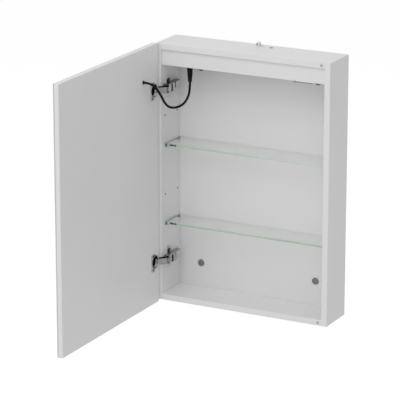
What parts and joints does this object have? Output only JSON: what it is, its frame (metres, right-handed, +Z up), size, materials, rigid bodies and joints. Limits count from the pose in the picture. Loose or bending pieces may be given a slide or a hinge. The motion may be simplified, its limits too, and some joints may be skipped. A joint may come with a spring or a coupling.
{
  "type": "bathroom mirror cabinet",
  "caption": "Wall cabinet for a bathroom with an open mirror door on concealed hinges, glass shelves on pins, and a black cable from a tray for the light driver to the door.",
  "frame": {"origin": "middle of the four wall fixing holes, on the rear plane that lies against the wall", "axes": "+Z up, +Y into the wall, so the open front faces -Y and the door is hung on the -X side"},
  "size_m": [0.5035, 0.626, 0.7133],
  "materials": {
    "white_board": "white faced board, satin",
    "white_back_board": "white faced board, satin, raw brown core at its cut edges",
    "beech": "bare wood",
    "driver_case": "matte",
    "screw_steel": "zinc plated",
    "pin_steel": "nickel plated",
    "hinge_steel": "nickel plated, satin",
    "black_cable": "satin black sheath",
    "black_rubber": "matte black",
    "clear_rubber": "soft, clear grey",
    "grey_plastic": "matte",
    "pale_plastic": "matte",
    "shelf_glass": "clear float glass with ground edges",
    "mirror": "silvered glass",
    "diffuser": "opal",
    "led_board": "white circuit board"
  },
  "bodies": {
    "carcass": {"left_side_panel": "white_board", "right_side_panel": "white_board", "top_panel": "white_board", "bottom_panel": "white_board", "back_panel": "white_back_board", "panel_dowels": "beech", "electrics_fascia": "white_board", "electrics_floor": "white_board", "led_driver": "driver_case", "driver_screws": "screw_steel", "terminal_block": "driver_case", "driver_lead": "black_cable", "strain_relief": "black_rubber", "lower_shelf": "shelf_glass", "upper_shelf": "shelf_glass", "shelf_pins": "pin_steel", "wall_screw_caps": "grey_plastic", "door_bumpers": "clear_rubber", "cable_clip": "pale_plastic", "cable_clip_screw": "screw_steel", "top_cable_bush": "pale_plastic", "lower_hinge_plate": "hinge_steel", "upper_hinge_plate": "hinge_steel", "hinge_plate_screws": "screw_steel", "lower_hinge_arm": "hinge_steel", "upper_hinge_arm": "hinge_steel", "hinge_arm_screws": "screw_steel", "hinge_pivot_pins": "pin_steel"},
    "door": {"door_board": "white_board", "mirror_glass": "mirror", "light_diffusers": "diffuser", "led_strips": "led_board", "door_wiring": "black_cable", "door_cable_bush": "black_rubber", "lower_hinge_cup": "hinge_steel", "upper_hinge_cup": "hinge_steel", "hinge_cup_screws": "screw_steel", "door_cable": "black_cable"},
    "lower_hinge_link": {"lower_hinge_link": "hinge_steel"},
    "upper_hinge_link": {"upper_hinge_link": "hinge_steel"}
  },
  "joints": [
    {"name": "door_swing", "type": "hinge", "parent": "carcass", "child": "door", "pos_m": [-0.2485, -0.125, 0], "axis": [0, 0, 1], "range_deg": [-5, 90], "deforming": ["door_cable"]},
    {"name": "lower_link_swing", "type": "hinge", "parent": "carcass", "child": "lower_hinge_link", "pos_m": [-0.2145, -0.1092, -0.24], "axis": [0, 0, 1], "range_deg": [-22, 2]},
    {"name": "upper_link_swing", "type": "hinge", "parent": "carcass", "child": "upper_hinge_link", "pos_m": [-0.2145, -0.1092, 0.227], "axis": [0, 0, 1], "range_deg": [-22, 2]}
  ],
  "couplings": [
    {"joint": "lower_link_swing", "follows": "door_swing", "ratio": -0.24},
    {"joint": "upper_link_swing", "follows": "door_swing", "ratio": -0.24}
  ]
}
